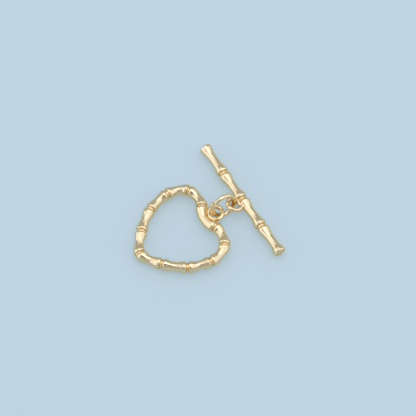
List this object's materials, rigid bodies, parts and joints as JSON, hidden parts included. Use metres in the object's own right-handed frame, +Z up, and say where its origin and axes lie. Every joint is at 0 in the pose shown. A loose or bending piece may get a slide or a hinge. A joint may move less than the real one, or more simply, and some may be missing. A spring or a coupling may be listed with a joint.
{
  "type": "toggle clasp",
  "caption": "Toggle clasp for a necklace or bracelet: a heart-shaped ring of bamboo stems and a straight bamboo bar, each with a soldered loop, joined by an open jump ring.",
  "frame": {"origin": "on the table, in the middle of the part's footprint", "axes": "+X along the heart from its tip to its cleft and on to the bar, +Y along the bar, +Z up from the table"},
  "size_m": [0.0238, 0.0252, 0.005],
  "materials": {
    "cast_gold": "polished pale gold plating on cast brass",
    "wire_gold": "polished pale gold plating on drawn wire"
  },
  "bodies": {
    "root": {"heart_ring": "cast_gold", "jump_ring": "wire_gold", "toggle_bar": "cast_gold"}
  },
  "joints": []
}
